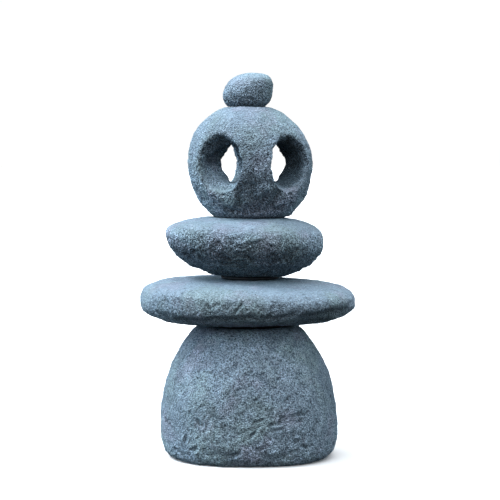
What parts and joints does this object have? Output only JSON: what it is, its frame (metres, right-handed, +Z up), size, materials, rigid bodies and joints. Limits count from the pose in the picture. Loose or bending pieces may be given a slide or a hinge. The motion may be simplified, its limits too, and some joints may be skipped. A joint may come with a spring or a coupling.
{
  "type": "stone lantern",
  "caption": "Garden lantern of stacked rounded stones: a hollow ball head with side windows on a saucer, a broad slab and a tapered base, topped by a small pebble.",
  "frame": {"origin": "on the ground under the dowel axis, in the base stone's flat underside", "axes": "+Z up along the dowel axis, -Y towards the front pillar between two windows, +X to the right as seen from the front"},
  "size_m": [0.337, 0.3057, 0.6],
  "materials": {
    "stone": "rough, pitted, blue-grey",
    "dowel": "brushed",
    "pad": "matte"
  },
  "bodies": {
    "base": {"base_stone": "stone", "base_pad": "pad"},
    "base_pin": {"base_dowel": "dowel"},
    "slab": {"slab_stone": "stone", "slab_pad": "pad"},
    "slab_pin": {"slab_dowel": "dowel"},
    "saucer": {"saucer_stone": "stone", "saucer_pad": "pad"},
    "saucer_pin": {"saucer_dowel": "dowel"},
    "head": {"lantern_head": "stone", "head_pad": "pad"},
    "head_pin": {"head_dowel": "dowel"},
    "finial": {"finial_stone": "stone"}
  },
  "joints": [
    {"name": "slab_turn", "type": "hinge", "parent": "base", "child": "base_pin", "pos_m": [0, 0, 0.205], "axis": [0, 0, 1], "continuous": true},
    {"name": "slab_lift", "type": "slide", "parent": "base_pin", "child": "slab", "axis": [0, 0, 1], "range_m": [0, 0.12]},
    {"name": "saucer_turn", "type": "hinge", "parent": "slab", "child": "slab_pin", "pos_m": [0, 0, 0.278], "axis": [0, 0, 1], "continuous": true},
    {"name": "saucer_lift", "type": "slide", "parent": "slab_pin", "child": "saucer", "axis": [0, 0, 1], "range_m": [0, 0.12]},
    {"name": "head_turn", "type": "hinge", "parent": "saucer", "child": "saucer_pin", "pos_m": [0, 0, 0.375], "axis": [0, 0, 1], "continuous": true},
    {"name": "head_lift", "type": "slide", "parent": "saucer_pin", "child": "head", "axis": [0, 0, 1], "range_m": [0, 0.1]},
    {"name": "finial_turn", "type": "hinge", "parent": "head", "child": "head_pin", "pos_m": [0, 0, 0.546], "axis": [0, 0, 1], "continuous": true},
    {"name": "finial_lift", "type": "slide", "parent": "head_pin", "child": "finial", "axis": [0, 0, 1], "range_m": [0, 0.09]}
  ]
}
